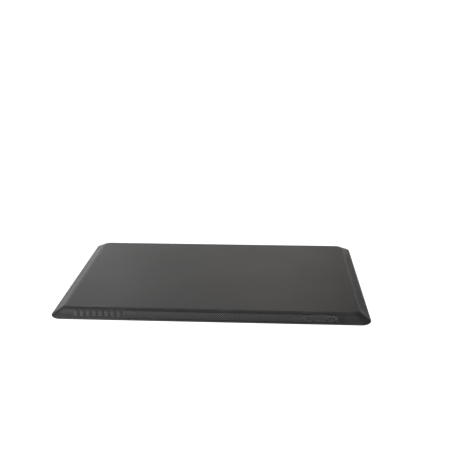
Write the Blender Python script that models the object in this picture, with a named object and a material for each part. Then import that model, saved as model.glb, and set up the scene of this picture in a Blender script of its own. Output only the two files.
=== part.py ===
"""Anti-fatigue standing mat: a bevelled polyurethane top cover, a foam core and a non-slip base sheet.

The mat lies on the floor plane. The origin is the middle of its underside, +X runs along the long
side, +Y towards the back edge and +Z up. Lengths are in metres.

Every piece is a stack of rounded rectangles, called rings. A ring is set by how far it lies inside
the mat's edge (its inset) and by its height, so a piece's cross-section at the edge is a list of
(inset, height) points.
"""

import math

import bmesh
import bpy

# Driving dimensions
LENGTH = 0.762
WIDTH = 0.508
THICKNESS = 0.019
BEVEL_INSET = 0.028  # how far the bevel reaches in from the edge
LIP_HEIGHT = 0.003  # the upright lip below the bevel
FOOT_CORNER_RADIUS = 0.025  # corner radius, seen from above, at the foot of the bevel
CREASE_CORNER_RADIUS = 0.015  # the same at the crease, where the bevel meets the flat top
CREASE_ROUNDING = 0.020  # radius across the crease
LIP_ROUNDING = 0.0006  # radius between the lip and the bevel
COVER_WALL = 0.0018
BASE_THICKNESS = 0.0016
BASE_INSET = 0.0007  # the base sheet's edge lies this far inside the lip
BASE_ROUNDING = 0.0004  # the eased lower edge of the base sheet
GAP = 0.0003  # clearance between neighbouring pieces

CORNER_STEPS = 12
CREASE_STEPS = 6
LIP_STEPS = 3

# Values worked out from the driving dimensions
BEVEL_SLOPE = (THICKNESS - LIP_HEIGHT) / BEVEL_INSET
BEVEL_ANGLE = math.atan(BEVEL_SLOPE)
COVER_FOOT = BASE_THICKNESS + GAP  # height of the cover's lower rim and of the core's underside


def corner_radius(inset):
    """Corner radius of the ring at this inset: it narrows evenly from the foot to the crease."""
    share = inset / BEVEL_INSET
    return FOOT_CORNER_RADIUS + (CREASE_CORNER_RADIUS - FOOT_CORNER_RADIUS) * share


def ring_points(inset, height):
    """Points of a rounded rectangle, anticlockwise seen from above."""
    radius = corner_radius(inset)
    middle_x = LENGTH / 2 - inset - radius
    middle_y = WIDTH / 2 - inset - radius
    points = []
    for quarter, (side_x, side_y) in enumerate([(1, 1), (-1, 1), (-1, -1), (1, -1)]):
        for step in range(CORNER_STEPS + 1):
            angle = math.pi / 2 * (quarter + step / CORNER_STEPS)
            x = side_x * middle_x + radius * math.cos(angle)
            y = side_y * middle_y + radius * math.sin(angle)
            points.append((x, y, height))
    return points


def rounded(corner, start_angle, end_angle, radius, steps):
    """Section points of an arc that replaces a corner.

    The section runs up to the corner along start_angle and leaves it along end_angle, both measured
    from the inward direction towards up. The arc touches both runs and turns clockwise.
    """
    inset, height = corner
    turn = start_angle - end_angle
    reach = radius * math.tan(turn / 2)
    middle_inset = inset - reach * math.cos(start_angle) + radius * math.sin(start_angle)
    middle_height = height - reach * math.sin(start_angle) - radius * math.cos(start_angle)
    points = []
    for step in range(steps + 1):
        along = start_angle - turn * step / steps
        points.append(
            (middle_inset - radius * math.sin(along), middle_height + radius * math.cos(along))
        )
    return points


def bevel_section(depth):
    """Section of the surface that lies this deep under the bevel and the top, from its foot up."""
    drop = depth / math.cos(BEVEL_ANGLE)
    crease_height = THICKNESS - depth
    crease_inset = (crease_height - LIP_HEIGHT + drop) / BEVEL_SLOPE
    foot_inset = (COVER_FOOT - LIP_HEIGHT + drop) / BEVEL_SLOPE
    crease = rounded(
        (crease_inset, crease_height), BEVEL_ANGLE, 0.0, CREASE_ROUNDING - depth, CREASE_STEPS
    )
    return [(foot_inset, COVER_FOOT)] + crease


def cover_outside():
    """Section of the cover's outer face: the upright lip, the bevel and the rounded crease."""
    lip = rounded((0.0, LIP_HEIGHT), math.pi / 2, BEVEL_ANGLE, LIP_ROUNDING, LIP_STEPS)
    crease = bevel_section(0.0)[1:]
    return [(0.0, COVER_FOOT)] + lip + crease


def plastic(name, colour, roughness):
    """A plain non-metal material."""
    material = bpy.data.materials.new(name)
    material.use_nodes = True
    shader = material.node_tree.nodes["Principled BSDF"]
    shader.inputs["Base Color"].default_value = (*colour, 1.0)
    shader.inputs["Roughness"].default_value = roughness
    shader.inputs["Metallic"].default_value = 0.0
    material.diffuse_color = (*colour, 1.0)
    return material


def stack_of_rings(name, section, material):
    """A closed piece: one ring for each section point, skinned together and capped at both ends."""
    mesh_data = bmesh.new()
    rings = [
        [mesh_data.verts.new(point) for point in ring_points(inset, height)]
        for inset, height in section
    ]
    for ring, next_ring in zip(rings, rings[1:]):
        for here, there in zip(range(-1, len(ring) - 1), range(len(ring))):
            mesh_data.faces.new((ring[here], ring[there], next_ring[there], next_ring[here]))
    mesh_data.faces.new(rings[0])
    mesh_data.faces.new(rings[-1])
    bmesh.ops.recalc_face_normals(mesh_data, faces=mesh_data.faces)

    mesh = bpy.data.meshes.new(name)
    mesh_data.to_mesh(mesh)
    mesh_data.free()
    mesh.materials.append(material)
    mesh.shade_smooth()
    mesh.set_sharp_from_angle(angle=math.radians(20))
    piece = bpy.data.objects.new(name, mesh)
    bpy.context.scene.collection.objects.link(piece)
    return piece


def make_top_cover():
    """Wear skin: a tray turned upside down. Its section runs from the inner face to the outer one."""
    material = plastic("cover_skin", (0.045, 0.045, 0.046), 0.5)
    inside = bevel_section(COVER_WALL)
    return stack_of_rings("top_cover", inside[::-1] + cover_outside(), material)


def make_foam_core():
    """Foam slab that fills the cover, a gap away from its inner face."""
    material = plastic("core_foam", (0.09, 0.09, 0.092), 0.9)
    return stack_of_rings("foam_core", bevel_section(COVER_WALL + GAP), material)


def make_base_sheet():
    """Non-slip sheet under the cover's rim and the core, with its lower edge eased."""
    material = plastic("base_grip", (0.03, 0.03, 0.031), 0.7)
    section = [
        (BASE_INSET + BASE_ROUNDING, 0.0),
        (BASE_INSET, BASE_ROUNDING),
        (BASE_INSET, BASE_THICKNESS),
    ]
    return stack_of_rings("base_sheet", section, material)


def main():
    """Clears the scene and makes the three pieces."""
    for leftover in list(bpy.data.objects):
        bpy.data.objects.remove(leftover, do_unlink=True)
    make_base_sheet()
    make_foam_core()
    make_top_cover()


main()
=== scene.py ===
"""Looks of an anti-fatigue standing mat: a moulded wear cover, a foam core and a non-slip base sheet.

The mat lies on the floor plane with its long side along X and its back edge towards +Y. Every length
is in metres. Each piece is built from rings: nested rounded rectangles that share one set of columns
around the mat, so a piece's skin is a grid of rows (the section at the edge) by columns (the way
round). The flat faces inside the innermost ring are grids of their own, zipped to that ring.
"""

import logging
import math
from dataclasses import dataclass, field
from enum import Enum

import bpy
import numpy as np
from mathutils import Matrix, Vector


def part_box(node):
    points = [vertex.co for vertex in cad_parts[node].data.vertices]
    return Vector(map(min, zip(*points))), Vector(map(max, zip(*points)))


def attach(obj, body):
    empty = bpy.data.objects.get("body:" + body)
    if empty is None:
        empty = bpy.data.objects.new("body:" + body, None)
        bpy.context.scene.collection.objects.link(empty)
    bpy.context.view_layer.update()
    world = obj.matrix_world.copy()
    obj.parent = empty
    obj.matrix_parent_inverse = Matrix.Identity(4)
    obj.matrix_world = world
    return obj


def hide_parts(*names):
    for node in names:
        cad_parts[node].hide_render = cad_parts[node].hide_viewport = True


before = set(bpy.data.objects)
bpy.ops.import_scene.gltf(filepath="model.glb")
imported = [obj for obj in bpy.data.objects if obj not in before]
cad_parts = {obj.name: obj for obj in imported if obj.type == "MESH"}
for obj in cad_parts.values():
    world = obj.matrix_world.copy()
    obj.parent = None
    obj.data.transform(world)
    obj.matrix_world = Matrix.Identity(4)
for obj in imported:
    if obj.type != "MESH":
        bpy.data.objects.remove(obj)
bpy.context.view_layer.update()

log = logging.getLogger("standing_mat")

Array = np.ndarray
Colour = tuple[float, float, float]
Point = tuple[float, float, float]
Output = bpy.types.NodeSocket
Outputs = dict[str, Output]
BODY = "root"


# ---------------------------------------------------------------------------------------------
# Plan and section: where every ring of the mat lies
# ---------------------------------------------------------------------------------------------


class Side(Enum):
    """The mat's four sides, in the order in which the columns run round it."""

    FRONT = 0
    RIGHT = 1
    BACK = 2
    LEFT = 3


def smoothstep(value: Array, low: float, high: float) -> Array:
    """A rise from 0 at low to 1 at high that starts and ends level (3t^2 - 2t^3).

    Args:
        value: where the rise is read.
        low: the value up to which the result is 0.
        high: the value from which the result is 1.

    Returns:
        The rise at each value, from 0 to 1.
    """
    share = np.clip((np.asarray(value, float) - low) / (high - low), 0.0, 1.0)
    return share * share * (3.0 - 2.0 * share)


@dataclass(frozen=True)
class Plan:
    """Outline of the mat seen from above, at any distance in from its edge.

    Attributes:
        length: the mat's size along X.
        width: the mat's size along Y.
        bevel_inset: how far the bevel reaches in from the edge.
        foot_radius: corner radius at the foot of the bevel.
        crease_radius: corner radius at the crease, where the bevel meets the top.
        straight_margin: how far from each corner the evenly spaced columns stop.
        spacing: distance between those columns, about.
        repeat_steps: steps to one repeat of the grip.
        fan_steps: columns between the last even one and the corner's arc.
        arc_steps: steps round a corner's arc.
    """

    length: float
    width: float
    bevel_inset: float = 0.028
    foot_radius: float = 0.025
    crease_radius: float = 0.015
    straight_margin: float = 0.056
    spacing: float = 0.00148
    repeat_steps: int = 4
    fan_steps: int = 7
    arc_steps: int = 18

    def radius(self, inset: Array) -> Array:
        """Corner radius at an inset: it changes evenly from the foot's to the crease's."""
        share = inset / self.bevel_inset
        return self.foot_radius + (self.crease_radius - self.foot_radius) * share

    def half_straight(self, side: Side) -> float:
        """Half the length of a side's evenly spaced stretch."""
        whole = self.length if side in (Side.FRONT, Side.BACK) else self.width
        return whole / 2 - self.straight_margin

    def even_steps(self, side: Side) -> int:
        """Steps along a side's even stretch, which holds a whole number of grip repeats."""
        repeats = 2 * self.half_straight(side) / (self.repeat_steps * self.spacing)
        return self.repeat_steps * max(1, round(repeats))

    def pitch(self, side: Side) -> float:
        """Length of one repeat of the grip along a side."""
        return self.repeat_steps * 2 * self.half_straight(side) / self.even_steps(side)

    def side_columns(self, side: Side) -> tuple[Array, Array]:
        """Columns of one side and of the corner after it, as if the side were the front one.

        A ring's point in a column is a fixed place, plus a share of the way to the corner arc's
        middle, plus a share of the arc's radius. Each of x and y has these three factors.

        Args:
            side: which side.

        Returns:
            The factors, columns by 2 by 3, and each column's place along the side, which is
            not a number outside the even stretch.
        """
        half = self.half_straight(side)
        even = np.linspace(-half, half, self.even_steps(side) + 1)
        fan = np.arange(1, self.fan_steps + 1) / self.fan_steps
        turn = np.radians(np.linspace(-90.0, 0.0, self.arc_steps + 1)[1:-1])
        zero_fan, zero_even, one_arc = np.zeros_like(fan), np.zeros_like(even), np.ones_like(turn)
        across = [
            np.stack([half * (fan[::-1] - 1), -fan[::-1], zero_fan], 1),
            np.stack([even, zero_even, zero_even], 1),
            np.stack([half * (1 - fan), fan, zero_fan], 1),
            np.stack([0 * one_arc, one_arc, np.cos(turn)], 1),
        ]
        along = np.concatenate(across)
        outward = np.zeros_like(along)
        outward[:, 1:] = -1.0
        outward[-len(turn) :, 2] = np.sin(turn)
        place = np.full(len(along), np.nan)
        place[self.fan_steps : self.fan_steps + len(even)] = even
        return np.stack([along, outward], 1), place

    def columns(self) -> tuple[Array, Array, Array]:
        """Columns all the way round, anticlockwise from the front left corner.

        Returns:
            The factors of side_columns turned to each side, columns by 2 by 3, then each
            column's place along its side and the number of its side.
        """
        factors, places, numbers = [], [], []
        for side in Side:
            turned, place = self.side_columns(side)
            for _ in range(side.value):
                turned = np.stack([-turned[:, 1], turned[:, 0]], 1)
            factors.append(turned)
            places.append(place)
            numbers.append(np.full(len(place), side.value))
        return np.concatenate(factors), np.concatenate(places), np.concatenate(numbers)

    def at(self, factors: Array, inset: Array, height: Array) -> Array:
        """Points of the rings: the plan formula at each row and column.

        Args:
            factors: the columns' factors.
            inset: distance in from the edge, rows by columns.
            height: height above the floor, rows by columns.

        Returns:
            The points, rows by columns by 3.
        """
        radius = self.radius(inset)
        reach_x = self.length / 2 - inset - radius
        reach_y = self.width / 2 - inset - radius
        x = factors[:, 0, 0] + factors[:, 0, 1] * reach_x + factors[:, 0, 2] * radius
        y = factors[:, 1, 0] + factors[:, 1, 1] * reach_y + factors[:, 1, 2] * radius
        return np.stack([x, y, height], -1)

    def rings(self, factors: Array, section: Array) -> Array:
        """Points of rings that each keep one (inset, height) of the section all the way round."""
        inset, height = (np.repeat(part[:, None], len(factors), 1) for part in section.T)
        return self.at(factors, inset, height)


@dataclass(frozen=True)
class Section:
    """Section of the mat at its edge, as (inset, height) points.

    Attributes:
        plan: the outline that the insets are measured on.
        top: height of the flat top.
        lip_height: height of the upright lip below the bevel.
        lip_rounding: radius between the lip and the bevel.
        crease_rounding: radius across the crease.
        bow: how far the bevel's middle lies under a straight line, which makes it hollow.
    """

    plan: Plan
    top: float
    lip_height: float = 0.003
    lip_rounding: float = 0.0006
    crease_rounding: float = 0.020
    bow: float = 0.0004

    @property
    def angle(self) -> float:
        """Slope of the bevel, in radians."""
        return math.atan2(self.top - self.lip_height, self.plan.bevel_inset)

    @property
    def run(self) -> float:
        """Length of the bevel up its slope, corner to corner."""
        return math.hypot(self.top - self.lip_height, self.plan.bevel_inset)

    @property
    def lip_reach(self) -> float:
        """How far up the slope the lip's arc reaches."""
        return self.lip_rounding * math.tan((math.pi / 2 - self.angle) / 2)

    @property
    def crease_reach(self) -> float:
        """How far down the slope the crease's arc reaches."""
        return self.crease_rounding * math.tan(self.angle / 2)

    def arc(
        self, corner: tuple[float, float], start: float, end: float, radius: float, steps: int
    ) -> Array:
        """Arc that replaces a corner of the section and touches both of its runs.

        Args:
            corner: the corner's inset and height.
            start: direction of the run up to the corner, from inwards towards up, in radians.
            end: direction of the run away from it.
            radius: the arc's radius.
            steps: steps along the arc.

        Returns:
            The arc's points, steps + 1 by 2.
        """
        reach = radius * math.tan((start - end) / 2)
        middle = np.array(corner) - reach * np.array([math.cos(start), math.sin(start)])
        middle += radius * np.array([math.sin(start), -math.cos(start)])
        along = np.linspace(start, end, steps + 1)
        return middle + radius * np.stack([-np.sin(along), np.cos(along)], 1)

    def bevel(self, foot: float, depth: float, steps: int) -> Array:
        """Section of the face that lies this deep under the bevel and the top, from its foot up.

        Args:
            foot: height at which the face starts.
            depth: distance under the outer face.
            steps: steps round the crease.

        Returns:
            The points, from the foot to the end of the crease's arc.
        """
        slope, drop = math.tan(self.angle), depth / math.cos(self.angle)
        crease_height = self.top - depth
        corner = ((crease_height - self.lip_height + drop) / slope, crease_height)
        start = np.array([[(foot - self.lip_height + drop) / slope, foot]])
        crease = self.arc(corner, self.angle, 0.0, self.crease_rounding - depth, steps)
        return np.concatenate([start, crease])


# ---------------------------------------------------------------------------------------------
# Meshes made of rows of numbered points
# ---------------------------------------------------------------------------------------------


@dataclass
class Surface:
    """Points and faces of one piece, gathered part by part.

    Attributes:
        points: blocks of points, each n by 3.
        faces: blocks of faces, each n by 3 or n by 4 point numbers.
        masks: for each named attribute, one block of values to go with each block of points.
        count: how many points there are so far.
    """

    points: list[Array] = field(default_factory=list)
    faces: list[Array] = field(default_factory=list)
    masks: dict[str, list[Array]] = field(default_factory=dict)
    count: int = 0

    def add(self, grid: Array, **masks: Array) -> Array:
        """Adds points.

        Args:
            grid: the points, rows by columns by 3 or n by 3.
            masks: attribute values of each point, which are 0 where a part gives none.

        Returns:
            The points' numbers, rows by columns or n.
        """
        shape = grid.shape[:-1]
        size = int(np.prod(shape))
        for name in set(self.masks) | set(masks):
            blocks = self.masks.setdefault(name, [np.zeros(self.count)])
            blocks.append(np.broadcast_to(masks.get(name, 0.0), shape).ravel().astype(float))
        self.points.append(grid.reshape(-1, 3))
        self.count += size
        return np.arange(self.count - size, self.count).reshape(shape)

    def skin(self, rows: Array, closed: bool) -> None:
        """Covers a grid with quads.

        Args:
            rows: the grid's point numbers, in rows and columns.
            closed: whether its last column is joined to its first.
        """
        here = rows if closed else rows[:, :-1]
        there = np.roll(rows, -1, axis=1) if closed else rows[:, 1:]
        quads = np.stack([here[:-1], there[:-1], there[1:], here[1:]], -1)
        self.faces.append(quads.reshape(-1, 4))

    def zip_loops(self, fine: Array, coarse: Array, partner: Array) -> None:
        """Joins a closed loop of many points to one of few.

        Each step along the fine loop makes a triangle with its partner on the coarse loop, or a
        quad where the partner moves on.

        Args:
            fine: point numbers of the loop with more points.
            coarse: point numbers of the other loop, which runs the same way on its left.
            partner: for each fine point, the place of its partner in the coarse loop. It moves
                on by at most one place a step.
        """
        near, near_next = fine, np.roll(fine, -1)
        far, far_next = coarse[partner], coarse[np.roll(partner, -1)]
        still = far == far_next
        self.faces.append(np.stack([near, near_next, far], 1)[still])
        self.faces.append(np.stack([near, near_next, far_next, far], 1)[~still])

    def object(self, name: str, sharp_degrees: float) -> bpy.types.Object:
        """Makes the mesh object, shaded smooth but for edges sharper than an angle.

        Args:
            name: the piece's name.
            sharp_degrees: edges that turn more than this stay sharp.

        Returns:
            The object, at the origin with its place in its mesh.
        """
        mesh = bpy.data.meshes.new(name)
        faces = [face for block in self.faces for face in block.tolist()]
        mesh.from_pydata(np.concatenate(self.points), [], faces)
        for mask, blocks in self.masks.items():
            values = np.concatenate(blocks).astype(np.float32)
            mesh.attributes.new(mask, "FLOAT", "POINT").data.foreach_set("value", values)
        mesh.update()
        mesh.shade_smooth()
        mesh.set_sharp_from_angle(angle=math.radians(sharp_degrees))
        piece = bpy.data.objects.new(name, mesh)
        bpy.context.scene.collection.objects.link(piece)
        return piece


@dataclass(frozen=True)
class FlatFace:
    """A nearly flat face inside a ring: a rectangular grid, zipped to the ring round it.

    Attributes:
        half_x: half the grid's size along X.
        half_y: half its size along Y.
        cells_x: cells along X.
        cells_y: cells along Y.
    """

    half_x: float
    half_y: float
    cells_x: int
    cells_y: int

    @classmethod
    def within(cls, plan: Plan, margin: float, cells_x: int, cells_y: int) -> "FlatFace":
        """A grid whose border lies this far inside the mat's edge."""
        return cls(plan.length / 2 - margin, plan.width / 2 - margin, cells_x, cells_y)

    def plane(self) -> tuple[Array, Array]:
        """Places of the grid's points.

        Returns:
            Their x and their y, rows along Y by columns along X.
        """
        x = np.linspace(-self.half_x, self.half_x, self.cells_x + 1)
        y = np.linspace(-self.half_y, self.half_y, self.cells_y + 1)
        across, up = np.meshgrid(x, y)
        return across, up

    def room(self) -> Array:
        """Distance from each grid point to the nearest side of the grid's border."""
        x, y = self.plane()
        return np.minimum(self.half_x - np.abs(x), self.half_y - np.abs(y))

    def rim(self, numbers: Array) -> Array:
        """The grid's border point numbers, anticlockwise from its lowest corner."""
        return np.concatenate(
            [numbers[0, :-1], numbers[:-1, -1], numbers[-1, :0:-1], numbers[:0:-1, 0]]
        )

    def fill(
        self,
        surface: Surface,
        ring: Array,
        ring_points: Array,
        height: Array,
        looks_down: bool = False,
        **masks: Array,
    ) -> None:
        """Adds the grid inside a ring and zips the two together.

        Args:
            surface: what the face is added to.
            ring: the ring's point numbers, anticlockwise from the front left corner.
            ring_points: the ring's points.
            height: height of each grid point.
            looks_down: whether the face looks down, which turns its faces round.
            masks: attribute values of each grid point.
        """
        blocks_before = len(surface.faces)
        across, up = self.plane()
        numbers = surface.add(np.stack([across, up, height], -1), **masks)
        surface.skin(numbers, closed=False)
        rim, border = self.rim(numbers), self.rim(np.arange(numbers.size).reshape(numbers.shape))
        flat = np.stack([across, up], -1).reshape(-1, 2)[border]
        surface.zip_loops(ring, rim, self.partners(ring_points[:, :2], flat))
        if looks_down:
            surface.faces[blocks_before:] = [block[:, ::-1] for block in surface.faces[blocks_before:]]

    def partners(self, ring: Array, rim: Array) -> Array:
        """Place in the rim of each ring point's partner, by how far round the rectangle both are.

        A point is first moved onto the rectangle. Its way round is then the length of the border
        from the lowest corner to it, and its partner is the nearest rim point by that length.

        Args:
            ring: the ring's points, n by 2.
            rim: the rim's points, m by 2, in order.

        Returns:
            The partner's place for each ring point.
        """
        steps = np.linalg.norm(np.roll(rim, -1, axis=0) - rim, axis=1)
        lengths = np.concatenate([[0.0], np.cumsum(steps)])
        box = np.array([self.half_x, self.half_y])
        scaled = ring / np.abs(ring / box).max(axis=1, keepdims=True)
        x, y = np.clip(scaled, -box, box).T
        side = np.argmax(np.stack([-y / box[1], x / box[0], y / box[1], -x / box[0]]), axis=0)
        width, depth = 2 * box
        front, right = x + box[0], width + y + box[1]
        back, left = width + depth + box[0] - x, 2 * width + depth + box[1] - y
        way = np.choose(side, [front, right, back, left])
        place = np.searchsorted((lengths[1:] + lengths[:-1]) / 2, way)
        return place % len(rim)


def waves(x: Array, y: Array, lengths: tuple[float, ...]) -> Array:
    """Gentle unevenness from -1 to 1: a mean of sine waves that each run another way.

    Args:
        x: places along X.
        y: places along Y.
        lengths: the wavelengths.

    Returns:
        The unevenness at each place.
    """
    total = np.zeros(np.broadcast(x, y).shape)
    for number, wavelength in enumerate(lengths):
        heading = 0.7 + 2.4 * number
        across = x * math.cos(heading) + y * math.sin(heading)
        total += np.sin(2 * math.pi * across / wavelength + 1.3 * number)
    return total / len(lengths)


# ---------------------------------------------------------------------------------------------
# Shared surface effects
# ---------------------------------------------------------------------------------------------


class Socket(Enum):
    """Kinds of socket that the shared effects have."""

    NUMBER = "NodeSocketFloat"
    COLOUR = "NodeSocketColor"
    PLACE = "NodeSocketVector"


@dataclass
class Graph:
    """A node tree with short ways to add and join nodes."""

    tree: bpy.types.NodeTree

    def node(self, kind: str, **settings: object) -> bpy.types.Node:
        """Adds a node.

        Args:
            kind: the node's type.
            settings: values of its properties.

        Returns:
            The node.
        """
        node = self.tree.nodes.new(kind)
        for name, value in settings.items():
            setattr(node, name, value)
        return node

    def put(self, socket: bpy.types.NodeSocket, value: object) -> None:
        """Joins an output to an input, or sets the input where the value is plain.

        Args:
            socket: the input.
            value: the output or the plain value.
        """
        if isinstance(value, bpy.types.NodeSocket):
            self.tree.links.new(value, socket)
        else:
            socket.default_value = value

    def maths(self, operation: str, first: object, second: object, clamp: bool = False) -> Output:
        """Adds one Math node.

        Args:
            operation: what it does.
            first: its first value.
            second: its second value.
            clamp: whether the result is kept between 0 and 1.

        Returns:
            The result.
        """
        node = self.node("ShaderNodeMath", operation=operation, use_clamp=clamp)
        self.put(node.inputs[0], first)
        self.put(node.inputs[1], second)
        return node.outputs[0]

    def noise(self, place: object, scale: object, detail: float, rough: float) -> Output:
        """Adds a noise.

        Args:
            place: where it is read.
            scale: how many bumps a metre holds.
            detail: how many finer layers it has.
            rough: how strong each finer layer is.

        Returns:
            The noise, from 0 to 1.
        """
        node = self.node("ShaderNodeTexNoise", noise_dimensions="3D")
        self.put(node.inputs["Vector"], place)
        self.put(node.inputs["Scale"], scale)
        self.put(node.inputs["Detail"], detail)
        self.put(node.inputs["Roughness"], rough)
        return node.outputs["Fac"]

    def ramp(self, value: object, low: float, high: float, start: float, end: float) -> Output:
        """Adds a rise that starts and ends level.

        Args:
            value: where it is read.
            low: the value up to which the result is start.
            high: the value from which the result is end.
            start: the result's first level.
            end: its last level.

        Returns:
            The result.
        """
        node = self.node("ShaderNodeMapRange", interpolation_type="SMOOTHSTEP")
        self.put(node.inputs["Value"], value)
        for name, given in zip(("From Min", "From Max", "To Min", "To Max"), (low, high, start, end)):
            node.inputs[name].default_value = given
        return node.outputs["Result"]

    def blend(self, share: object, first: object, second: object) -> Output:
        """Adds a mix of two colours.

        Args:
            share: the second colour's share.
            first: the first colour.
            second: the second colour.

        Returns:
            The mixed colour.
        """
        node = self.node("ShaderNodeMix", data_type="RGBA", clamp_factor=True)
        self.put(node.inputs["Factor"], share)
        self.put(node.inputs["A"], first)
        self.put(node.inputs["B"], second)
        return node.outputs["Result"]

    def mask(self, name: str) -> Output:
        """The piece's own attribute of this name."""
        return self.node("ShaderNodeAttribute", attribute_name=name).outputs["Fac"]

    def place(self) -> Output:
        """The piece's Object coordinates."""
        return self.node("ShaderNodeTexCoord").outputs["Object"]


@dataclass(frozen=True)
class Effect:
    """One shared effect: a node group with named inputs and outputs, built once.

    Attributes:
        name: the group's name.
        inputs: (name, kind, value) of each input.
        outputs: (name, kind) of each output.
    """

    name: str
    inputs: tuple[tuple[str, Socket, object], ...]
    outputs: tuple[tuple[str, Socket], ...]

    def group(self) -> bpy.types.NodeTree:
        """Makes the effect's node group the first time that it is asked for.

        Returns:
            The group.
        """
        found = bpy.data.node_groups.get(self.name)
        if found:
            return found
        tree = bpy.data.node_groups.new(self.name, "ShaderNodeTree")
        for name, kind, value in self.inputs:
            socket = tree.interface.new_socket(name, in_out="INPUT", socket_type=kind.value)
            if value is not None:
                socket.default_value = value
        for name, kind in self.outputs:
            tree.interface.new_socket(name, in_out="OUTPUT", socket_type=kind.value)
        graph = Graph(tree)
        given = graph.node("NodeGroupInput").outputs
        results = self.build(graph, {name: given[name] for name, _, _ in self.inputs})
        out = graph.node("NodeGroupOutput").inputs
        for name, result in results.items():
            graph.put(out[name], result)
        return tree

    def build(self, graph: Graph, given: Outputs) -> Outputs:
        """Fills the group.

        Args:
            graph: the group's node tree.
            given: the group's inputs by name.

        Returns:
            What each of its outputs gives, by name.
        """
        raise NotImplementedError

    def place_in(self, graph: Graph, **values: object) -> Outputs:
        """Puts the group into a material.

        Args:
            graph: the material's node tree.
            values: values for the inputs, with _ for each space of an input's name.

        Returns:
            The group's outputs by name.
        """
        node = graph.node("ShaderNodeGroup", node_tree=self.group())
        for name, value in values.items():
            graph.put(node.inputs[name.replace("_", " ")], value)
        return {name: node.outputs[name] for name, _ in self.outputs}


class PebbleGrain(Effect):
    """Fine moulded grain: small rounded pebbles with hair-fine pits over them."""

    def __init__(self) -> None:
        """Names the sockets."""
        super().__init__(
            "Pebble grain",
            (
                ("Place", Socket.PLACE, None),
                ("Pebble size", Socket.NUMBER, 0.0012),
                ("Pits", Socket.NUMBER, 0.3),
            ),
            (("Height", Socket.NUMBER), ("Valley", Socket.NUMBER)),
        )

    def build(self, graph: Graph, given: Outputs) -> Outputs:
        """Rounded cells, from the distance to the nearest cell middle, less a share of fine noise.

        Args:
            graph: the group's node tree.
            given: the group's inputs by name.

        Returns:
            What each of its outputs gives, by name.
        """
        scale = graph.maths("DIVIDE", 1.0, given["Pebble size"])
        cells = graph.node("ShaderNodeTexVoronoi", feature="SMOOTH_F1", voronoi_dimensions="3D")
        graph.put(cells.inputs["Vector"], given["Place"])
        graph.put(cells.inputs["Scale"], scale)
        cells.inputs["Smoothness"].default_value = 0.5
        distance = cells.outputs["Distance"]
        dome = graph.maths("SUBTRACT", 1.0, graph.maths("MULTIPLY", distance, distance), clamp=True)
        fine = graph.noise(given["Place"], graph.maths("MULTIPLY", scale, 3.1), 2.0, 0.55)
        pits = graph.maths("MULTIPLY", fine, given["Pits"])
        valley = graph.ramp(distance, 0.35, 0.85, 0.0, 1.0)
        return {"Height": graph.maths("SUBTRACT", dome, pits), "Valley": valley}


class Mottle(Effect):
    """Cloudy change of tone across a moulding, with a second, finer cloud inside it."""

    def __init__(self) -> None:
        """Names the sockets."""
        super().__init__(
            "Mottle",
            (
                ("Place", Socket.PLACE, None),
                ("Colour", Socket.COLOUR, (0.5, 0.5, 0.5, 1.0)),
                ("Lighter", Socket.COLOUR, (0.6, 0.6, 0.6, 1.0)),
                ("Cloud size", Socket.NUMBER, 0.12),
                ("Amount", Socket.NUMBER, 0.5),
            ),
            (("Colour", Socket.COLOUR), ("Cloud", Socket.NUMBER)),
        )

    def build(self, graph: Graph, given: Outputs) -> Outputs:
        """Two sizes of noise, the fine one at a third of the strength, as the share of the lighter tone.

        Args:
            graph: the group's node tree.
            given: the group's inputs by name.

        Returns:
            What each of its outputs gives, by name.
        """
        scale = graph.maths("DIVIDE", 1.0, given["Cloud size"])
        fine_scale = graph.maths("MULTIPLY", scale, 14.0)
        broad = graph.ramp(graph.noise(given["Place"], scale, 3.0, 0.5), 0.3, 0.7, 0.0, 1.0)
        fine = graph.ramp(graph.noise(given["Place"], fine_scale, 2.0, 0.6), 0.3, 0.7, 0.0, 1.0)
        cloud = graph.maths("ADD", graph.maths("MULTIPLY", broad, 0.7), graph.maths("MULTIPLY", fine, 0.3))
        share = graph.maths("MULTIPLY", cloud, given["Amount"], clamp=True)
        return {"Colour": graph.blend(share, given["Colour"], given["Lighter"]), "Cloud": cloud}


class EdgeWear(Effect):
    """Rubbed edges: the piece's edge mask, broken up by noise."""

    def __init__(self) -> None:
        """Names the sockets."""
        super().__init__(
            "Edge wear",
            (
                ("Place", Socket.PLACE, None),
                ("Edge", Socket.NUMBER, 0.0),
                ("Breaks", Socket.NUMBER, 0.02),
                ("Amount", Socket.NUMBER, 0.5),
            ),
            (("Wear", Socket.NUMBER),),
        )

    def build(self, graph: Graph, given: Outputs) -> Outputs:
        """The edge mask times noise that leaves some stretches nearly bare, times the amount.

        Args:
            graph: the group's node tree.
            given: the group's inputs by name.

        Returns:
            What each of its outputs gives, by name.
        """
        scale = graph.maths("DIVIDE", 1.0, given["Breaks"])
        broken = graph.ramp(graph.noise(given["Place"], scale, 3.0, 0.6), 0.35, 0.65, 0.35, 1.0)
        wear = graph.maths("MULTIPLY", given["Edge"], broken)
        return {"Wear": graph.maths("MULTIPLY", wear, given["Amount"], clamp=True)}


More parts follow.
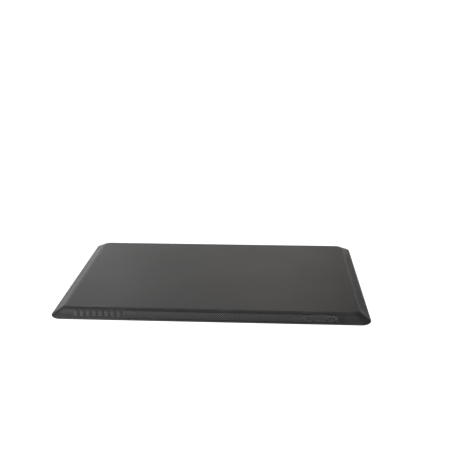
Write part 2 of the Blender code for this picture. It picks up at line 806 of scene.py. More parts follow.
class SettledDust(Effect):
    """A trace of dust, in sparse specks and in the low places that a mask gives."""

    def __init__(self) -> None:
        """Names the sockets."""
        super().__init__(
            "Settled dust",
            (
                ("Place", Socket.PLACE, None),
                ("Low places", Socket.NUMBER, 0.0),
                ("Specks", Socket.NUMBER, 0.3),
                ("Amount", Socket.NUMBER, 0.3),
            ),
            (("Dust", Socket.NUMBER),),
        )

    def build(self, graph: Graph, given: Outputs) -> Outputs:
        """Noise above a high threshold makes the specks; the low places add to them.

        Args:
            graph: the group's node tree.
            given: the group's inputs by name.

        Returns:
            What each of its outputs gives, by name.
        """
        fine = graph.ramp(graph.noise(given["Place"], 900.0, 3.0, 0.65), 0.58, 0.74, 0.0, 1.0)
        patch = graph.ramp(graph.noise(given["Place"], 9.0, 2.0, 0.5), 0.35, 0.7, 0.2, 1.0)
        specks = graph.maths("MULTIPLY", graph.maths("MULTIPLY", fine, patch), given["Specks"])
        dust = graph.maths("ADD", specks, given["Low places"])
        return {"Dust": graph.maths("MULTIPLY", dust, given["Amount"], clamp=True)}


@dataclass(frozen=True)
class Finish:
    """A material's own values. Each kind of finish adds its nodes in dress().

    Attributes:
        name: the material's name.
        colour: base tone.
        lighter: tone of the mottle's light clouds.
        roughness: roughness of the clean surface.
        specular: strength of the surface reflection at its middle, 0.5 being usual plastic.
    """

    name: str
    colour: Colour
    lighter: Colour
    roughness: float
    specular: float = 0.5

    def material(self) -> bpy.types.Material:
        """Makes the material.

        Returns:
            The material, with this finish's nodes.
        """
        material = bpy.data.materials.new(self.name)
        material.use_nodes = True
        shader = material.node_tree.nodes["Principled BSDF"]
        shader.inputs["Metallic"].default_value = 0.0
        shader.inputs["Specular IOR Level"].default_value = self.specular
        self.dress(Graph(material.node_tree), shader)
        return material

    def dress(self, graph: Graph, shader: bpy.types.Node) -> None:
        """Adds this finish's nodes round the shader.

        Args:
            graph: the material's node tree.
            shader: its Principled BSDF.
        """
        raise NotImplementedError

    def mottled(self, graph: Graph, place: Output, cloud_size: float, amount: float) -> Outputs:
        """The base tone with lighter clouds of this size in it."""
        tones = {"Colour": (*self.colour, 1.0), "Lighter": (*self.lighter, 1.0)}
        return Mottle().place_in(graph, Place=place, Cloud_size=cloud_size, Amount=amount, **tones)

    def bump(
        self, graph: Graph, shader: bpy.types.Node, height: Output, distance: float, strength: float
    ) -> None:
        """Bumps the shader's normal.

        Args:
            graph: the material's node tree.
            shader: its Principled BSDF.
            height: the height of the bumps, usually from 0 to 1.
            distance: what a height of 1 stands for, in metres.
            strength: how much of the bump shows, from 0 to 1.
        """
        node = graph.node("ShaderNodeBump")
        node.inputs["Distance"].default_value = distance
        node.inputs["Strength"].default_value = strength
        graph.put(node.inputs["Height"], height)
        graph.put(shader.inputs["Normal"], node.outputs["Normal"])


@dataclass(frozen=True)
class CoverSkin(Finish):
    """Self-skinned polyurethane: satin black and finely pebbled, with painted shade between the grip's
    diamonds and a lighter grey on the bevel's relief that is partly scuffing and partly painted highlight.

    Attributes:
        worn: tone of rubbed edges.
        dust: tone of settled dust.
        deep: painted shade, the tone of the low places between the grip's diamonds.
        crowns: lighter grey of the parts that stand proud, partly scuffing and partly painted highlight on
            the diamonds.
        valley_roughness: roughness of the low places, which no shoe rubs dull.
    """

    worn: Colour = (0.060, 0.060, 0.059)
    dust: Colour = (0.14, 0.14, 0.135)
    deep: Colour = (0.005, 0.005, 0.005)
    crowns: Colour = (0.175, 0.176, 0.176)
    valley_roughness: float = 0.29

    def dress(self, graph: Graph, shader: bpy.types.Node) -> None:
        """Mottled tone, painted shade in the low places, lighter relief (partly scuffing, partly painted
        highlight), worn crease and lip, a little dust, grain.

        Args:
            graph: the material's node tree.
            shader: its Principled BSDF.
        """
        place = graph.place()
        grain = PebbleGrain().place_in(graph, Place=place, Pebble_size=0.0011, Pits=0.35)
        tone = self.mottled(graph, place, cloud_size=0.16, amount=0.6)
        edge = graph.mask("edge")
        wear = EdgeWear().place_in(graph, Place=place, Edge=edge, Breaks=0.03, Amount=0.35)["Wear"]
        scuff_and_highlight = graph.ramp(graph.mask("grip"), 0.05, 0.5, 0.0, 0.9)
        recess_shade_share = graph.ramp(graph.mask("low"), 0.5, 1.0, 0.0, 0.9)
        dust = SettledDust().place_in(graph, Place=place, Specks=0.3, Amount=0.3)["Dust"]
        # Painted shade: the low places between the diamonds take the near-black tone.
        colour = graph.blend(recess_shade_share, tone["Colour"], (*self.deep, 1.0))
        # Partly scuffing, partly painted highlight: the raised relief takes a lighter grey.
        colour = graph.blend(scuff_and_highlight, colour, (*self.crowns, 1.0))
        colour = graph.blend(wear, colour, (*self.worn, 1.0))
        colour = graph.blend(dust, colour, (*self.dust, 1.0))
        graph.put(shader.inputs["Base Color"], colour)
        smooth = graph.ramp(tone["Cloud"], 0.0, 1.0, self.roughness - 0.015, self.roughness + 0.015)
        valley = graph.ramp(graph.mask("low"), 0.0, 1.0, 0.0, self.valley_roughness - self.roughness)
        rough = graph.maths("ADD", smooth, valley)
        rough = graph.maths("ADD", rough, graph.maths("MULTIPLY", grain["Valley"], 0.05))
        rough = graph.maths("ADD", rough, graph.maths("MULTIPLY", dust, 0.4), clamp=True)
        graph.put(shader.inputs["Roughness"], rough)
        self.bump(graph, shader, grain["Height"], 0.00004, 0.6)


@dataclass(frozen=True)
class CoreFoam(Finish):
    """Cut polyurethane foam: a field of small open cells.

    Attributes:
        cell_size: size of a cell.
        shade: tone inside the cells, as a share of the base tone; a painted shade.
    """

    cell_size: float = 0.0009
    shade: float = 0.45

    def dress(self, graph: Graph, shader: bpy.types.Node) -> None:
        """Cell walls stand proud and lighter; the cells between them are darker pits, their darkness
        painted shade.

        Args:
            graph: the material's node tree.
            shader: its Principled BSDF.
        """
        place = graph.place()
        cells = graph.node("ShaderNodeTexVoronoi", feature="DISTANCE_TO_EDGE", voronoi_dimensions="3D")
        graph.put(cells.inputs["Vector"], place)
        cells.inputs["Scale"].default_value = 1.0 / self.cell_size
        wall = graph.ramp(cells.outputs["Distance"], 0.04, 0.22, 1.0, 0.0)
        grain = PebbleGrain().place_in(graph, Place=place, Pebble_size=0.0035, Pits=0.5)
        tone = self.mottled(graph, place, cloud_size=0.05, amount=0.7)
        # Painted shade: the pits between the cell walls take a darker share of the base tone.
        deep = tuple(self.shade * part for part in self.colour)
        graph.put(shader.inputs["Base Color"], graph.blend(wall, (*deep, 1.0), tone["Colour"]))
        graph.put(shader.inputs["Roughness"], graph.ramp(wall, 0.0, 1.0, 0.98, self.roughness))
        height = graph.maths("ADD", wall, graph.maths("MULTIPLY", grain["Height"], 0.6))
        self.bump(graph, shader, height, 0.0003, 0.8)


@dataclass(frozen=True)
class BaseGrip(Finish):
    """Soft non-slip rubbery underside, dull, with rubbed stud tops.

    Attributes:
        rubbed: tone of the rubbed stud tops and edges.
        dust: tone of settled dust.
    """

    rubbed: Colour = (0.050, 0.050, 0.050)
    dust: Colour = (0.16, 0.16, 0.155)

    def dress(self, graph: Graph, shader: bpy.types.Node) -> None:
        """Mottled tone, rubbed where the edge mask is high, dust in the low places, fine bump.

        Args:
            graph: the material's node tree.
            shader: its Principled BSDF.
        """
        place = graph.place()
        grain = PebbleGrain().place_in(graph, Place=place, Pebble_size=0.0007, Pits=0.5)
        tone = self.mottled(graph, place, cloud_size=0.07, amount=0.8)
        edge, low = graph.mask("edge"), graph.mask("low")
        wear = EdgeWear().place_in(graph, Place=place, Edge=edge, Breaks=0.05, Amount=0.6)["Wear"]
        dust = SettledDust().place_in(graph, Place=place, Low_places=low, Specks=0.3, Amount=0.12)["Dust"]
        colour = graph.blend(wear, tone["Colour"], (*self.rubbed, 1.0))
        graph.put(shader.inputs["Base Color"], graph.blend(dust, colour, (*self.dust, 1.0)))
        rough = graph.ramp(wear, 0.0, 1.0, self.roughness, self.roughness - 0.18)
        rough = graph.maths("ADD", rough, graph.maths("MULTIPLY", grain["Valley"], 0.06))
        graph.put(shader.inputs["Roughness"], rough)
        self.bump(graph, shader, grain["Height"], 0.00005, 0.7)


# ---------------------------------------------------------------------------------------------
# The mat's pieces
# ---------------------------------------------------------------------------------------------


@dataclass(frozen=True)
class Band:
    """Stretch of a side that one kind of relief takes, in metres along the side from its middle."""

    start: float
    end: float

    @property
    def middle(self) -> float:
        """Middle of the stretch."""
        return (self.start + self.end) / 2

    def inside(self, along: Array, margin: float) -> Array:
        """1 inside the stretch, 0 outside it, with a soft rise this wide inside each end."""
        rise = smoothstep(along, self.start, self.start + margin)
        return rise * (1.0 - smoothstep(along, self.end - margin, self.end))


@dataclass(frozen=True)
class TopCover:
    """The moulded wear cover: flat top, hollow bevels with a diamond grip, and an upright lip.

    Attributes:
        plan: the mat's outline.
        section: the mat's section.
        foot: height of the cover's lower rim.
        wall: thickness of the cover.
        lip_steps: steps round the lip's edge.
        crease_steps: steps round the crease.
        inner_crease_steps: steps round the crease on the inner face.
        flat_rings: how far in from the crease's arc each ring of the flat top lies, and its wear.
        top_cells: cells of the top's grid along X and Y.
        ceiling_cells: cells of the inner face's grid along X and Y.
        face_margin: how far inside the mat's edge the grids of the flat faces start.
        low_margin: smooth strip between the lip and the grip, up the slope.
        high_margin: smooth strip between the grip and the crease.
        margin_ring: how far outside the grip one plain ring lies on each side of it.
        grip_rows: repeats of the grip up the slope.
        grip_height: height of a grip diamond.
        grip_pits: depth of the pits between the diamonds, as a share of that height.
        grip_fade: length over which the grip fades out before each corner.
        panel_fade: length over which it starts beside the pads.
        pad_stretch: where the row of plain pads stands on the front bevel.
        pad_count: how many pads stand there.
        pad_size: a pad's size along the side and up the slope.
        pad_ramp: width of the slope round a pad.
        pad_fade: length over which the row of pads starts and ends.
        pad_height: how far the pads stand proud.
        pad_scuff: how much scuff the pads show, from 0 to 1.
        panel_scuff: how much scuff the bevel shows where it is plain, from 0 to 1.
        badge_stretch: where the plain oval lies on the front bevel.
        badge_reach: half the oval's height, as a share of the slope's length.
        badge_level: how far up the slope the oval's middle lies, as a share of its length.
        badge_line: how far from the middle of its line the oval starts to fall, and where it ends.
        badge_clearance: how far from there the grip starts, and where it is whole.
        badge_height: how far the oval's line stands proud.
        badge_scuff: how much scuff that line shows.
        worn_reach: how far from the lip and the crease the bevel's edge wear falls to a third.
        unevenness: height of the top's gentle waves.
        wavelengths: their lengths.
        calm_border: width of the border over which they fade out.
    """

    plan: Plan
    section: Section
    foot: float
    wall: float = 0.0018
    lip_steps: int = 4
    crease_steps: int = 9
    inner_crease_steps: int = 3
    flat_rings: tuple[tuple[float, float], ...] = ((0.0012, 0.35), (0.0035, 0.1), (0.0075, 0.0))
    top_cells: tuple[int, int] = (72, 46)
    ceiling_cells: tuple[int, int] = (30, 20)
    face_margin: float = 0.050
    low_margin: float = 0.0030
    high_margin: float = 0.0066
    margin_ring: float = 0.0011
    grip_rows: int = 4
    grip_height: float = 0.00065
    grip_pits: float = 0.35
    grip_fade: float = 0.030
    panel_fade: float = 0.003
    pad_stretch: Band = Band(-0.3245, -0.2060)
    pad_count: int = 8
    pad_size: tuple[float, float] = (0.0075, 0.0135)
    pad_ramp: float = 0.0015
    pad_fade: float = 0.002
    pad_height: float = 0.00045
    pad_scuff: float = 0.140
    panel_scuff: float = 0.112
    badge_stretch: Band = Band(0.222, 0.300)
    badge_reach: float = 0.27
    badge_level: float = 0.47
    badge_line: tuple[float, float] = (0.0004, 0.0016)
    badge_clearance: tuple[float, float] = (0.0010, 0.0020)
    badge_height: float = 0.0005
    badge_scuff: float = 0.20
    worn_reach: float = 0.0016
    unevenness: float = 0.00006
    wavelengths: tuple[float, ...] = (0.31, 0.19, 0.13)
    calm_border: float = 0.05

    @property
    def first_row(self) -> int:
        """Number of the bevel's first row, after the rim's and those of the lip's arc."""
        return 1 + self.lip_steps + 1

    def bevel_rows(self) -> tuple[Array, Array]:
        """Rows up the bevel: the grip's, and a plain one on each side of them.

        Returns:
            How far up the slope each row lies, and how far into the grip band, in repeats.
        """
        start, end = self.low_margin, self.section.run - self.high_margin
        repeats = np.linspace(0.0, self.grip_rows, self.plan.repeat_steps * self.grip_rows + 1)
        grip = start + (end - start) * repeats / self.grip_rows
        slope = np.concatenate([[start - self.margin_ring], grip, [end + self.margin_ring]])
        return slope, np.concatenate([[-1.0], repeats, [self.grip_rows + 1.0]])

    def outer_section(self) -> tuple[Array, Array, Array]:
        """Inset and height of every row from the rim to the flat top, with its place in the grip.

        The bevel is bowed: its rows lie under the straight slope by the bow times a squared
        half-wave sine, which is level where the bevel meets the arcs at its two ends.

        Returns:
            Insets and heights, rows by 2; repeats into the grip band, or -1 outside the bevel;
            and an edge mask that is 1 on the lip's edge and in the middle of the crease.
        """
        made = self.section
        slope, repeats = self.bevel_rows()
        straight = made.run - made.crease_reach - made.lip_reach
        drop = made.bow * np.sin(math.pi * np.clip((slope - made.lip_reach) / straight, 0.0, 1.0)) ** 2
        inset = slope * math.cos(made.angle) + drop * math.sin(made.angle)
        height = made.lip_height + slope * math.sin(made.angle) - drop * math.cos(made.angle)
        lip = made.arc((0.0, made.lip_height), math.pi / 2, made.angle, made.lip_rounding, self.lip_steps)
        crease = made.bevel(self.foot, 0.0, self.crease_steps)[1:]
        flat = [(crease[-1, 0] + further, made.top) for further, _ in self.flat_rings]
        rows = np.concatenate([[[0.0, self.foot]], lip, np.stack([inset, height], 1), crease, flat])
        place = np.full(len(rows), -1.0)
        place[self.first_row : self.first_row + len(repeats)] = repeats
        rim_wear, flat_wear = [0.2], [wear for _, wear in self.flat_rings]
        bevel_wear = np.exp(-np.minimum(slope, made.run - slope) / self.worn_reach)
        crease_wear = 0.4 + 0.6 * np.sin(np.linspace(0.2, math.pi - 0.4, len(crease)))
        edge = np.concatenate([rim_wear, np.ones(len(lip)), bevel_wear, crease_wear, flat_wear])
        return rows, place, edge

    def grip(self, along: Array, repeats: Array) -> Array:
        """Height share of the diamond grip: up to 1 on the diamonds, below 0 between them.

        In each repeat the product of two cosines, one along the side and one up the slope, is
        positive over two staggered diamonds. Each stands proud as a small four-sided pyramid,
        and the places between them sink to shallow pits. The band's first and last rows stay level.

        Args:
            along: place along the side in repeats, columns.
            repeats: place up the slope in repeats, rows.

        Returns:
            The height share, rows by columns.
        """
        across = np.cos(2 * math.pi * along)[None, :]
        up = np.cos(2 * math.pi * repeats)[:, None]
        inside = (repeats >= 0.2) & (repeats <= self.grip_rows - 0.2)
        return np.maximum(across * up, -self.grip_pits) * inside[:, None]

    def pads(self, along: Array, slope: Array) -> Array:
        """Height share of the row of plain pads: rounded rectangles, all the same.

        A pad's outline is where the distance to its core, the rectangle shrunk on all sides,
        equals that shrinkage. The share falls from 1 to 0 over a ramp that starts a fifth of its
        width inside the outline.

        Args:
            along: place along the side, columns.
            slope: place up the slope, rows.

        Returns:
            The height share, rows by columns.
        """
        length, width = self.pad_size
        pitch = (self.pad_stretch.end - self.pad_stretch.start) / self.pad_count
        number = np.clip(np.floor((along - self.pad_stretch.start) / pitch), 0, self.pad_count - 1)
        x = np.abs(along - self.pad_stretch.start - (number + 0.5) * pitch)
        y = np.abs(slope - self.section.run / 2)
        corner = min(self.pad_size) / 2 - 0.4 * self.pad_ramp
        beyond_x = np.maximum(x - (length / 2 - corner), 0.0)[None, :]
        beyond_y = np.maximum(y - (width / 2 - corner), 0.0)[:, None]
        inner = corner - 0.2 * self.pad_ramp
        return 1.0 - smoothstep(np.hypot(beyond_x, beyond_y), inner, inner + self.pad_ramp)

    def oval(self, along: Array, slope: Array) -> Array:
        """Distance from the oval's line, in metres, for a thin oval on the front bevel.

        The distance is the ellipse's own radius less one, times the half-height, which is close
        enough to the true distance where the oval is nearly straight.

        Args:
            along: place along the side, columns.
            slope: place up the slope, rows.

        Returns:
            The distance, rows by columns.
        """
        half_height = self.section.run * self.badge_reach
        stretch = self.badge_stretch
        x = (along - stretch.middle) / (stretch.end - stretch.start) * 2
        y = (slope - self.section.run * self.badge_level) / half_height
        return (np.hypot(x[None, :], y[:, None]) - 1.0) * half_height

    def shown(self, place: Array, side: Array) -> tuple[Array, Array]:
        """Where the grip shows along the sides, and how many repeats along each column lies.

        The grip fades out towards both ends of a side's even stretch, and on the front side it starts
        only after the pads.

        Args:
            place: each column's place along its side, not a number round the corners.
            side: each column's side.

        Returns:
            The grip's share from 0 to 1, and the place along the side in repeats.
        """
        straight = np.isfinite(place)
        along = np.where(straight, place, 0.0)
        halves = np.array([self.plan.half_straight(each) for each in Side])
        pitches = np.array([self.plan.pitch(each) for each in Side])
        room = halves[side] - np.abs(along)
        share = smoothstep(room, 0.0, self.grip_fade) * straight
        pads_end = self.pad_stretch.end
        after_pads = smoothstep(along, pads_end, pads_end + self.panel_fade)
        share = np.where(side == Side.FRONT.value, share * after_pads, share)
        return share, along / pitches[side]

    def relief(
        self, place: Array, side: Array, repeats: Array, slope: Array
    ) -> tuple[Array, Array, Array]:
        """Relief all round: the grip, and on the front the pads and the oval in its place.

        Args:
            place: each column's place along its side, not a number round the corners.
            side: each column's side.
            repeats: each row's place in the grip band, -1 outside it.
            slope: each row's place up the slope, not a number off the bevel.

        Returns:
            Height in metres, the mask of the lighter parts, partly scuffing and partly painted highlight
            (the diamonds' crowns, the pads, the oval and the plain stretches), and the mask of the low
            places between the diamonds, which carries painted shade, rows by columns.
        """
        on_bevel = np.isfinite(slope)[:, None]
        up = np.where(np.isfinite(slope), slope, 0.0)
        along = np.where(np.isfinite(place), place, 0.0)
        front = (side == Side.FRONT.value) & np.isfinite(place)
        share, along_repeats = self.shown(place, side)
        low_end = smoothstep(repeats, -0.4, 0.1)
        high_end = smoothstep(repeats, self.grip_rows - 0.1, self.grip_rows + 0.4)
        band = (low_end * (1.0 - high_end))[:, None] * on_bevel
        off_line = np.where(front, np.abs(self.oval(along, up)), 1.0)
        oval = (1.0 - smoothstep(off_line, *self.badge_line)) * on_bevel
        clear = smoothstep(off_line, *self.badge_clearance)
        pads = self.pads(along, up) * (self.pad_stretch.inside(along, self.pad_fade) * front) * on_bevel
        diamonds = self.grip(along_repeats, repeats) * share * clear
        crowns = np.maximum(diamonds, 0.0)
        height = self.grip_height * diamonds + self.pad_height * pads + self.badge_height * oval
        gripping = band * share * clear
        scuff_and_highlight = np.maximum(self.pad_scuff * pads, self.panel_scuff * band * (1.0 - share))
        scuff_and_highlight = np.maximum(scuff_and_highlight, self.badge_scuff * oval)
        return height, np.maximum(gripping * crowns, scuff_and_highlight), gripping * (1.0 - crowns)

    def build(self) -> bpy.types.Object:
        """Makes the cover: inner face, rim, lip, bevel with its relief, crease and top.

        Returns:
            The cover's object.
        """
        surface = Surface()
        factors, place, side = self.plan.columns()
        inner = self.section.bevel(self.foot, self.wall, self.inner_crease_steps)[::-1]
        inside = self.plan.rings(factors, inner)
        rows, repeats, edge = self.outer_section()
        bevel = self.bevel_rows()[0]
        slope = np.full(len(rows), np.nan)
        slope[self.first_row : self.first_row + len(bevel)] = bevel
        height, grip, low = self.relief(place, side, repeats, slope)
        inset = rows[:, :1] - height * math.sin(self.section.angle)
        level = rows[:, 1:] + height * math.cos(self.section.angle)
        outside = self.plan.at(factors, inset, level)
        inner_numbers = surface.add(inside)
        outer_numbers = surface.add(outside, edge=edge[:, None], grip=grip, low=low)
        surface.skin(np.concatenate([inner_numbers, outer_numbers]), closed=True)
        top = FlatFace.within(self.plan, self.face_margin, *self.top_cells)
        top.fill(surface, outer_numbers[-1], outside[-1], self.top_heights(top))
        ceiling = FlatFace.within(self.plan, self.face_margin, *self.ceiling_cells)
        under = np.full(ceiling.room().shape, self.section.top - self.wall)
        ceiling.fill(surface, inner_numbers[0], inside[0], under, looks_down=True)
        return surface.object("wear_cover", sharp_degrees=50.0)

    def top_heights(self, top: FlatFace) -> Array:
        """Heights of the top's grid: level at its border, with gentle waves inside."""
        wave = waves(*top.plane(), self.wavelengths) * smoothstep(top.room(), 0.0, self.calm_border)
        return self.section.top + self.unevenness * wave


@dataclass(frozen=True)
class FoamCore:
    """The foam slab inside the cover.

    Attributes:
        plan: the mat's outline.
        section: the mat's section.
        depth: how deep the slab's faces lie under the mat's outer faces.
        low: height of the slab's underside.
        edge_height: height over which its lower edge is eased.
        lower_edge: the eased edge as steps in from its foot and up from the underside.
        slope_steps: rows up each sloping side.
        crease_steps: steps round the crease.
        flat_ring: how far in from the crease's arc the upper face's own ring lies.
        margins: how far inside the mat's edge the upper and lower face's grids start.
        face_cells: cells of those grids along X and Y.
        unevenness: height of the cut faces' waves.
        wavelengths: their lengths.
        calm_border: width of the border over which they fade out.
    """

    plan: Plan
    section: Section
    depth: float
    low: float
    edge_height: float = 0.0008
    lower_edge: tuple[tuple[float, float], ...] = ((0.006, 0.0), (0.0018, 0.0), (0.0005, 0.0002))
    slope_steps: int = 8
    crease_steps: int = 5
    flat_ring: float = 0.004
    margins: tuple[float, float] = (0.052, 0.03)
    face_cells: tuple[int, int] = (60, 40)
    unevenness: float = 0.00006
    wavelengths: tuple[float, ...] = (0.09, 0.06, 0.04)
    calm_border: float = 0.03

    def build(self) -> bpy.types.Object:
        """Makes the slab: bevelled sides with eased lower edges, and two gently uneven faces.

        Returns:
            The slab's object.
        """
        surface = Surface()
        factors, _, _ = self.plan.columns()
        top = self.section.top - self.depth
        sides = self.section.bevel(self.low + self.edge_height, self.depth, self.crease_steps)
        eased = np.array([sides[0, 0], self.low]) + np.array(self.lower_edge)
        slope = np.linspace(sides[0], sides[1], self.slope_steps)
        rows = np.concatenate([eased, slope, sides[2:], [[sides[-1, 0] + self.flat_ring, top]]])
        points = self.plan.rings(factors, rows)
        numbers = surface.add(points)
        surface.skin(numbers, closed=True)
        upper, lower = (FlatFace.within(self.plan, margin, *self.face_cells) for margin in self.margins)
        upper.fill(surface, numbers[-1], points[-1], top - self.waved(upper))
        lower.fill(surface, numbers[0], points[0], self.low + self.waved(lower), looks_down=True)
        return surface.object("foam_slab", sharp_degrees=40.0)

    def waved(self, face: FlatFace) -> Array:
        """How far a cut face's waves sink into the slab: level at the grid's border, never proud."""
        wave = 1.0 + waves(*face.plane(), self.wavelengths)
        return self.unevenness * wave * smoothstep(face.room(), 0.0, self.calm_border)


@dataclass(frozen=True)
class BaseSheet:
    """The non-slip sheet under the mat, with low round studs on its underside.

    Attributes:
        plan: the mat's outline.
        top: height of the sheet's upper face.
        inset: how far its edge lies inside the mat's edge.
        border: width of the flat border round the studs.
        stud_step: width of the step between the border and the studded field.
        stud_margin: how far inside the mat's edge the studs start.
        stud_pitch: distance between studs.
        stud_height: height of the studs.
        stud_wear: how rubbed the studs are, from 0 to 1.
        cells: grid cells to one stud.
        upper_margin: how far inside the mat's edge the upper face's grid starts.
        upper_cells: cells of that grid along X and Y.
    """

    plan: Plan
    top: float
    inset: float = 0.0007
    border: float = 0.0052
    stud_step: float = 0.0008
    stud_margin: float = 0.016
    stud_pitch: float = 0.011
    stud_height: float = 0.0005
    stud_wear: float = 0.8
    cells: int = 4
    upper_margin: float = 0.022
    upper_cells: tuple[int, int] = (30, 20)

    def edge_section(self) -> tuple[Array, Array]:
        """Section of the sheet's edge from the studded field round to the upper face.

        Returns:
            Insets and heights, rows by 2, and each row's edge wear.
        """
        rows = [
            (self.border + self.stud_step, self.stud_height, 0.0),
            (self.border, 0.0, 0.5),
            (0.0010, 0.0, 0.6),
            (0.0004, 0.0001, 1.0),
            (0.0, 0.0005, 0.7),
            (0.0, self.top - 0.0002, 0.3),
            (0.0002, self.top, 0.0),
            (0.0030, self.top, 0.0),
        ]
        inset, height, wear = np.array(rows).T
        return np.stack([self.inset + inset, height], 1), wear

    def build(self) -> bpy.types.Object:
        """Makes the sheet: studded underside, eased edge and plain upper face.

        Returns:
            The sheet's object.
        """
        surface = Surface()
        factors, _, _ = self.plan.columns()
        rows, wear = self.edge_section()
        points = self.plan.rings(factors, rows)
        numbers = surface.add(points, edge=wear[:, None])
        surface.skin(numbers, closed=True)
        self.studs(surface, numbers[0], points[0])
        upper = FlatFace.within(self.plan, self.upper_margin, *self.upper_cells)
        upper.fill(surface, numbers[-1], points[-1], np.full(upper.room().shape, self.top))
        return surface.object("grip_base", sharp_degrees=40.0)

    def studs(self, surface: Surface, ring: Array, ring_points: Array) -> None:
        """Closes the underside with a grid whose studs reach down to the floor.

        A stud's height share is the square of the product of two half-wave sines, which is 1 at
        its middle and level at 0 between studs.

        Args:
            surface: what the underside is added to.
            ring: point numbers of the ring round it.
            ring_points: that ring's points.
        """
        half_x, half_y = self.plan.length / 2 - self.stud_margin, self.plan.width / 2 - self.stud_margin
        count_x, count_y = round(2 * half_x / self.stud_pitch), round(2 * half_y / self.stud_pitch)
        field_grid = FlatFace(half_x, half_y, self.cells * count_x, self.cells * count_y)
        x, y = field_grid.plane()
        across = np.sin(math.pi * count_x * (x + half_x) / (2 * half_x))
        up = np.sin(math.pi * count_y * (y + half_y) / (2 * half_y))
        stud = (across * up) ** 2
        masks = {"edge": self.stud_wear * stud, "low": 1.0 - stud}
        height = self.stud_height * (1.0 - stud)
        field_grid.fill(surface, ring, ring_points, height, looks_down=True, **masks)


@dataclass(frozen=True)
class StandingMat:
    """The whole mat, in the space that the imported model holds.

    Attributes:
        skin: the cover's finish.
        foam: the core's finish.
        grip: the base sheet's finish.
    """

    skin: CoverSkin = CoverSkin("cover_skin", (0.0135, 0.0135, 0.0135), (0.0175, 0.0175, 0.0172), 0.38)
    foam: CoreFoam = CoreFoam("core_foam", (0.085, 0.085, 0.087), (0.12, 0.12, 0.12), 0.85)
    grip: BaseGrip = BaseGrip("base_grip", (0.016, 0.016, 0.0162), (0.024, 0.024, 0.0238), 0.86, 0.2)

    def build(self) -> None:
        """Builds, dresses and declares each piece."""
        low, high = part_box("top_cover")
        core_low, core_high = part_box("foam_core")
        base_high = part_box("base_sheet")[1]
        plan = Plan(high.x - low.x, high.y - low.y)
        coarse = Plan(plan.length, plan.width, spacing=0.006, arc_steps=12, fan_steps=4)
        section = Section(plan, high.z)
        cover = TopCover(plan, section, low.z).build()
        core = FoamCore(coarse, section, high.z - core_high.z, core_low.z).build()
        base = BaseSheet(coarse, base_high.z).build()
        self.declare(cover, self.skin, "top_cover")
        self.declare(core, self.foam, "foam_core")
        self.declare(base, self.grip, "base_sheet")

    def declare(
        self, piece: bpy.types.Object, finish: Finish, node: str
    ) -> None:
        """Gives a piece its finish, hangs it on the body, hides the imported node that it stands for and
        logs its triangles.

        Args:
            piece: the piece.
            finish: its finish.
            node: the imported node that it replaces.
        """
        piece.data.materials.append(finish.material())
        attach(piece, BODY)
        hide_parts(node)
        triangles = sum(len(polygon.vertices) - 2 for polygon in piece.data.polygons)
        log.info("%s stands for %s: %d triangles", piece.name, node, triangles)


# ---------------------------------------------------------------------------------------------
# Studio
# ---------------------------------------------------------------------------------------------


def hang(name: str, lamp: bpy.types.Light, at: Vector, facing: Vector) -> None:
    """Puts a lamp into the scene, itself out of sight.

    Args:
        name: the light's name.
        lamp: the lamp.
        at: where it hangs.
        facing: the direction in which it shines.
    """
    holder = bpy.data.objects.new(name, lamp)
    holder.location = at
    holder.rotation_euler = facing.to_track_quat("-Z", "Y").to_euler()
    holder.visible_camera = False
    bpy.context.scene.collection.objects.link(holder)


def towards(azimuth: float, elevation: float) -> Vector:
    """Direction at an azimuth, from the back (+Y) towards the right, and an elevation, in degrees."""
    turn, lift = math.radians(azimuth), math.radians(elevation)
    return Vector((math.sin(turn) * math.cos(lift), math.cos(turn) * math.cos(lift), math.sin(lift)))


@dataclass(frozen=True)
class BackdropBox:
    """One upright soft box of the backdrop, which the mat's top and side bevels mirror.

    Attributes:
        name: the light's name.
        azimuth: its direction from the mat, from the back (+Y) towards the right, in degrees.
        low: how high its lower edge looks from the mat, in degrees.
        high: how high its upper edge looks.
        watts: its power.
        width: how wide it looks.
        warmth: how warm its light is, 0 being white.
        distance: how far it stands from the mat.
    """

    name: str
    azimuth: float
    low: float
    high: float
    watts: float
    width: float = 20.0
    warmth: float = 0.0
    distance: float = 5.0

    def build(self) -> None:
        """Stands the light up, facing level towards the mat."""
        bottom, top = (self.distance * math.tan(math.radians(angle)) for angle in (self.low, self.high))
        lamp = bpy.data.lights.new(self.name, "AREA")
        lamp.shape = "RECTANGLE"
        lamp.size = 2 * self.distance * math.tan(math.radians(self.width / 2))
        lamp.size_y = top - bottom
        lamp.energy = self.watts
        lamp.color = (1.0 + self.warmth, 1.0, 1.0 - self.warmth)
        away = towards(self.azimuth, 0.0)
        hang(self.name, lamp, away * self.distance + Vector((0.0, 0.0, (bottom + top) / 2)), -away)


@dataclass(frozen=True)
class FarPanel:
    """A wide light so far away that it lights the whole floor alike.

    Attributes:
        name: the light's name.
        azimuth: its direction from the mat, from the back (+Y) towards the right, in degrees.
        elevation: how high it stands, in degrees.
        strength: light on a surface that faces it.
        width: how wide it looks from the mat, in degrees.
        distance: how far off the lamp hangs, which changes nothing in its light.
    """

    name: str
    azimuth: float
    elevation: float
    strength: float
    width: float = 40.0
    distance: float = 8.0

    def build(self) -> None:
        """Hangs the light."""
        lamp = bpy.data.lights.new(self.name, "SUN")
        lamp.energy = self.strength
        lamp.angle = math.radians(self.width)
        away = towards(self.azimuth, self.elevation)
        hang(self.name, lamp, self.distance * away, -away)


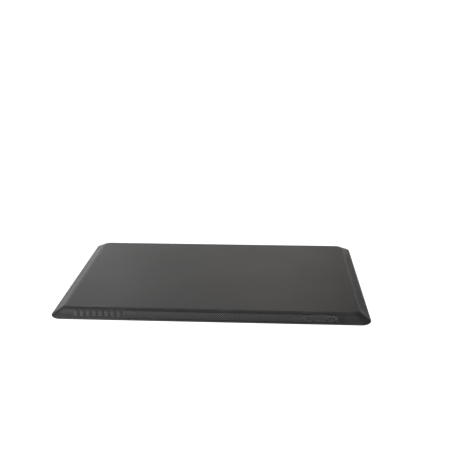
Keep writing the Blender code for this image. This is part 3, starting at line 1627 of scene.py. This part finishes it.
@dataclass(frozen=True)
class StudioFloor:
    """A round, flat, dull floor, lit from within, that reaches as far as the camera can see.

    Attributes:
        radii: radii of its rings of points.
        steps: points round each ring.
        tone: the reflectance of its surface.
        glow: the light that it gives off, as a table lit from within does.
    """

    radii: tuple[float, ...] = (0.8, 3.0, 12.0, 60.0, 400.0)
    steps: int = 64
    tone: float = 0.30
    glow: float = 0.95

    def build(self) -> None:
        """Lays the floor. A point is a ring's radius turned by an even share of a full turn."""
        turn = np.linspace(0.0, 2 * math.pi, self.steps + 1)[:-1]
        ring = np.stack([np.cos(turn), np.sin(turn), 0 * turn], -1)
        surface = Surface()
        rings = surface.add(np.array(self.radii)[::-1, None, None] * ring)
        surface.skin(rings, closed=True)
        middle = surface.add(np.zeros((1, 3)))
        surface.zip_loops(rings[-1], middle, np.zeros(len(turn), int))
        floor = surface.object("studio_floor", sharp_degrees=60.0)
        floor.data.materials.append(self.paint())

    def paint(self) -> bpy.types.Material:
        """Makes the dull pale sheet's material, which gives off light.

        Returns:
            The material.
        """
        material = bpy.data.materials.new("floor_paint")
        material.use_nodes = True
        shader = material.node_tree.nodes["Principled BSDF"]
        shader.inputs["Base Color"].default_value = (self.tone, self.tone, self.tone, 1.0)
        shader.inputs["Emission Color"].default_value = (1.0, 1.0, 1.0, 1.0)
        shader.inputs["Emission Strength"].default_value = self.glow
        shader.inputs["Roughness"].default_value = 0.9
        shader.inputs["Specular IOR Level"].default_value = 0.1
        return material


@dataclass(frozen=True)
class Viewpoint:
    """The camera: it looks down at a point of the floor from a given side.

    Attributes:
        target: the floor point on the camera's axis.
        distance: from that point to the camera.
        elevation: how steeply it looks down, in degrees.
        azimuth: how far it is turned from +Y towards +X, in degrees.
        roll: how far it leans, in degrees.
        lens: focal length in millimetres.
        sensor: width of the sensor in millimetres.
    """

    target: Point = (-0.0050, 0.4619, 0.0)
    distance: float = 2.2515
    elevation: float = 18.65
    azimuth: float = -3.65
    roll: float = -0.42
    lens: float = 53.664
    sensor: float = 36.0

    def build(self) -> None:
        """Makes the scene's camera."""
        turn, lean = math.radians(self.azimuth), math.radians(self.roll)
        ahead = towards(self.azimuth, -self.elevation)
        level = Vector((math.cos(turn), -math.sin(turn), 0.0))
        upright = level.cross(ahead)
        right = level * math.cos(lean) + upright * math.sin(lean)
        up = upright * math.cos(lean) - level * math.sin(lean)
        lens = bpy.data.cameras.new("camera")
        lens.lens, lens.sensor_width = self.lens, self.sensor
        lens.clip_start, lens.clip_end = 0.05, 100.0
        camera = bpy.data.objects.new("camera", lens)
        axes = Matrix((right, up, -ahead)).transposed().to_4x4()
        camera.matrix_world = Matrix.Translation(Vector(self.target) - ahead * self.distance) @ axes
        bpy.context.scene.collection.objects.link(camera)
        bpy.context.scene.camera = camera


@dataclass(frozen=True)
class Studio:
    """Floor, lights, surrounding light and camera.

    Attributes:
        lights: the lights.
        surroundings: how bright the surroundings are to the mat, 1 being white.
    """

    lights: tuple[BackdropBox | FarPanel, ...] = (
        FarPanel("front_left_panel", -140.0, 50.0, 3.23),
        FarPanel("left_panel", -90.0, 45.0, 0.78),
        BackdropBox("low_far_left_box", -35.0, 0.3, 10.0, 1.8, 10.0),
        BackdropBox("low_left_box", -25.0, 0.3, 10.0, 2.3, 10.0),
        BackdropBox("far_left_box", -30.0, 10.0, 28.0, 8.2),
        BackdropBox("left_box", -20.0, 10.0, 28.0, 3.6, 10.0),
        BackdropBox("middle_left_box", -10.0, 10.0, 28.0, 10.1, 20.0, 0.02),
        BackdropBox("middle_box", 5.0, 19.0, 28.0, 6.2, 10.0, 0.05),
        BackdropBox("low_middle_right_box", 15.0, 0.3, 10.0, 1.9, 10.0, 0.05),
        BackdropBox("middle_right_box", 15.0, 10.0, 19.0, 1.5, 10.0, 0.05),
        BackdropBox("low_right_box", 25.0, 0.3, 10.0, 1.3, 10.0, 0.05),
        BackdropBox("right_box", 25.0, 10.0, 19.0, 0.9, 10.0, 0.05),
        BackdropBox("far_right_box", 35.0, 10.0, 19.0, 0.4, 10.0, 0.05),
        BackdropBox("high_box", 0.0, 28.0, 50.0, 4.2, 30.0),
    )
    surroundings: float = 0.02

    def build(self) -> None:
        """Sets up the studio."""
        StudioFloor().build()
        for light in self.lights:
            light.build()
        self.air()
        bpy.context.scene.view_settings.view_transform = "Standard"
        Viewpoint().build()

    def air(self) -> None:
        """Makes the surroundings: seen directly they are white, and they light the mat only faintly."""
        world = bpy.data.worlds.new("studio_air")
        world.use_nodes = True
        graph = Graph(world.node_tree)
        dim = (self.surroundings, self.surroundings, self.surroundings, 1.0)
        seen = graph.node("ShaderNodeLightPath").outputs["Is Camera Ray"]
        colour = graph.blend(seen, dim, (1.0, 1.0, 1.0, 1.0))
        graph.put(world.node_tree.nodes["Background"].inputs["Color"], colour)
        bpy.context.scene.world = world


def main() -> None:
    """Builds the studio and the mat."""
    logging.basicConfig(level=logging.INFO, format="%(name)s: %(message)s")
    Studio().build()
    StandingMat().build()


if __name__ == "__main__":
    main()
